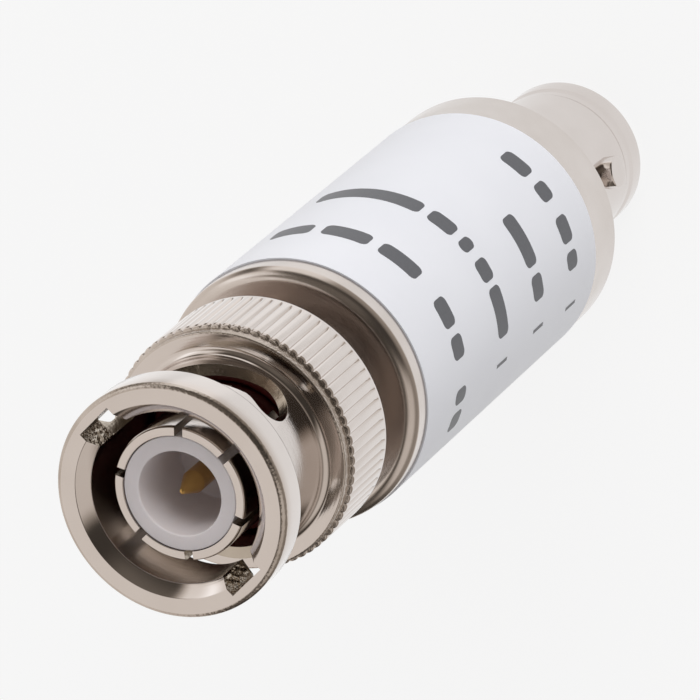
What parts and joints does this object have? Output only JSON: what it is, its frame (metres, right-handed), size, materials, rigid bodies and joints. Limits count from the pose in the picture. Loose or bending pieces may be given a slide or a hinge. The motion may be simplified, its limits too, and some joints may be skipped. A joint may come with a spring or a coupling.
{
  "type": "in-line coaxial attenuator",
  "caption": "Cylindrical in-line radio frequency attenuator with a bayonet plug on one end, a bayonet jack on the other and a wrapped label.",
  "frame": {"origin": "middle of the jack's mouth, on the axis, where the part stands", "axes": "+Z along the axis from the jack to the plug; the jack's studs lie along -Y and +Y"},
  "size_m": [0.016, 0.016, 0.0598],
  "materials": {
    "nickel": "nickel plated",
    "gold": "gold plated",
    "steel": "spring steel",
    "ptfe": "turned fluoropolymer",
    "silicone": "dark red silicone",
    "label": "satin film",
    "board": "solder resist",
    "resistor": "coated"
  },
  "bodies": {
    "body": {"body_sleeve": "nickel", "body_label": "label", "plug_shell": "nickel", "plug_insulator": "ptfe", "plug_bead": "ptfe", "centre_pin": "gold", "gasket": "silicone", "wave_washer": "steel", "resistor_board": "board", "shunt_resistor_1": "resistor", "shunt_resistor_2": "resistor", "shunt_resistor_3": "resistor", "shunt_resistor_4": "resistor", "series_resistor_1": "resistor", "series_resistor_2": "resistor", "jack_shell": "nickel", "bayonet_stud_1": "nickel", "bayonet_stud_2": "nickel", "jack_insulator": "ptfe", "jack_bead": "ptfe", "socket_contact": "gold"},
    "washer": {"slip_washer": "steel"},
    "nut": {"coupling_nut": "nickel"}
  },
  "joints": [
    {"name": "nut_float", "type": "slide", "parent": "body", "child": "washer", "axis": [0, 0, 1], "range_m": [0, 0.0005], "stiffness_N_per_m": 20000, "springref_m": -0.0005, "deforming": ["wave_washer"]},
    {"name": "nut_turn", "type": "hinge", "parent": "washer", "child": "nut", "pos_m": [0, 0, 0.053], "axis": [0, 0, 1], "continuous": true}
  ]
}
